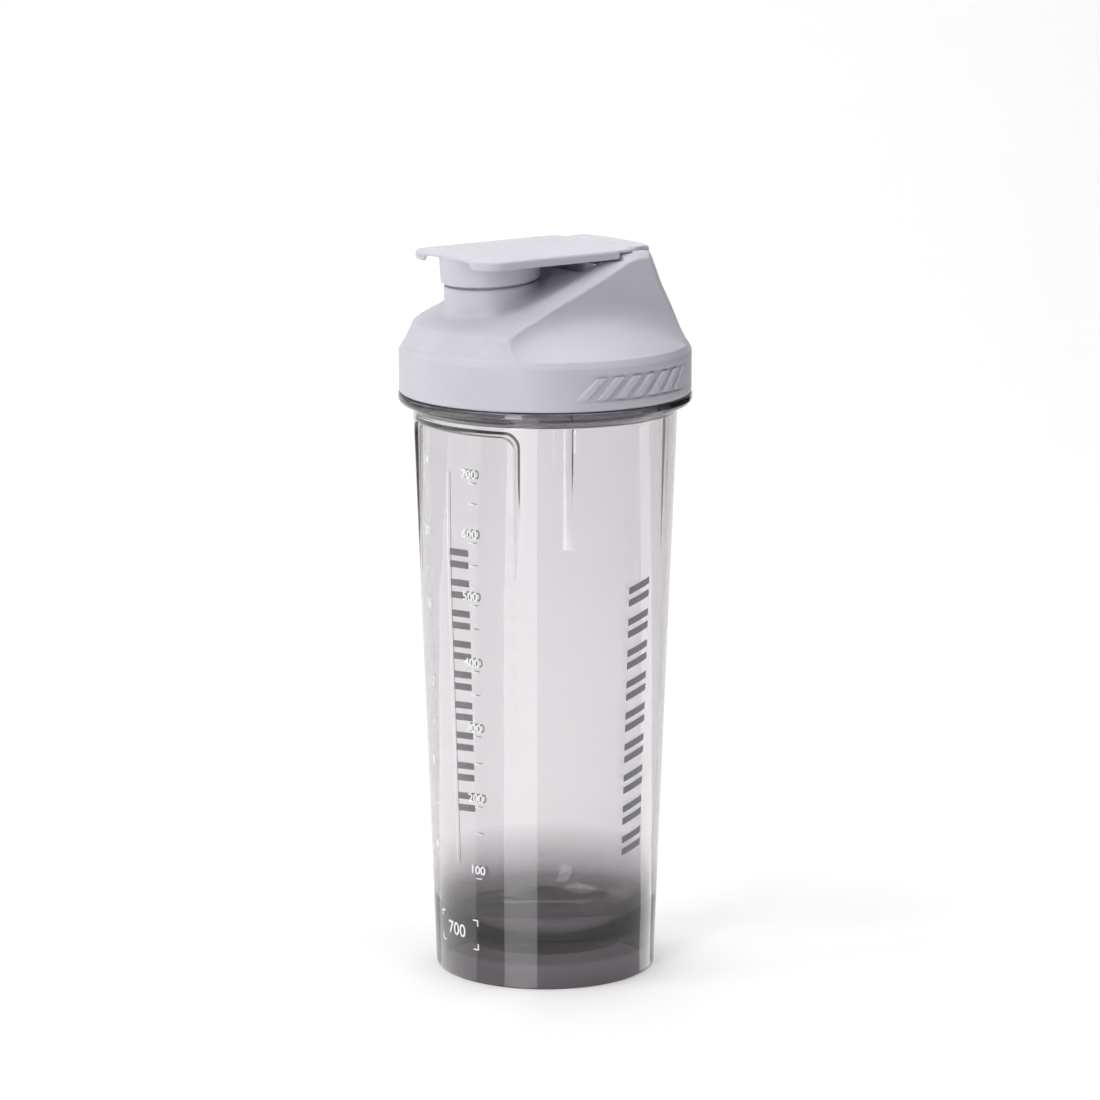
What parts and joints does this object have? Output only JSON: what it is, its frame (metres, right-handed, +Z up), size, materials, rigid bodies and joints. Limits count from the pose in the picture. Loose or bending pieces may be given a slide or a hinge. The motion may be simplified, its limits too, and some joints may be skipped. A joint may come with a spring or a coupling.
{
  "type": "protein shaker bottle",
  "caption": "Tall tapered clear shaker cup with a screw lid, pouring spout, flip arm that caps the spout, and a mixing grid under the lid.",
  "frame": {"origin": "centre of the foot, on the surface the bottle stands on", "axes": "+Z up the bottle, -Y towards the pouring spout, +Y towards the flip arm's hinge, +X to the side"},
  "size_m": [0.0962, 0.0958, 0.2394],
  "materials": {
    "cup_clear": "clear smoky copolyester, polished",
    "lid_plastic": "pale grey moulded plastic, fine matt texture",
    "silicone": "soft silicone",
    "grid_plastic": "satin moulded plastic",
    "pin_steel": "drawn stainless wire"
  },
  "bodies": {
    "cup": {"cup": "cup_clear"},
    "seal": {"lid_gasket": "silicone"},
    "lid": {"lid_shell": "lid_plastic", "hinge_pin": "pin_steel"},
    "arm": {"flip_arm": "lid_plastic", "spout_seal": "silicone"},
    "grid": {"mixing_grid": "grid_plastic"}
  },
  "joints": [
    {"name": "lid_rise", "type": "slide", "parent": "cup", "child": "seal", "axis": [0, 0, 1], "range_m": [0, 0.0141]},
    {"name": "lid_turn", "type": "hinge", "parent": "seal", "child": "lid", "pos_m": [0, 0, 0.2], "axis": [0, 0, 1], "range_deg": [0, 840]},
    {"name": "arm_flip", "type": "hinge", "parent": "lid", "child": "arm", "pos_m": [0, 0.026, 0.2348], "axis": [-1, 0, 0], "range_deg": [0, 105]},
    {"name": "grid_release", "type": "slide", "parent": "lid", "child": "grid", "axis": [0, 0, -1], "range_m": [0, 0.01]}
  ],
  "couplings": [
    {"joint": "lid_rise", "follows": "lid_turn", "m_per_rad": 0.00095493}
  ]
}
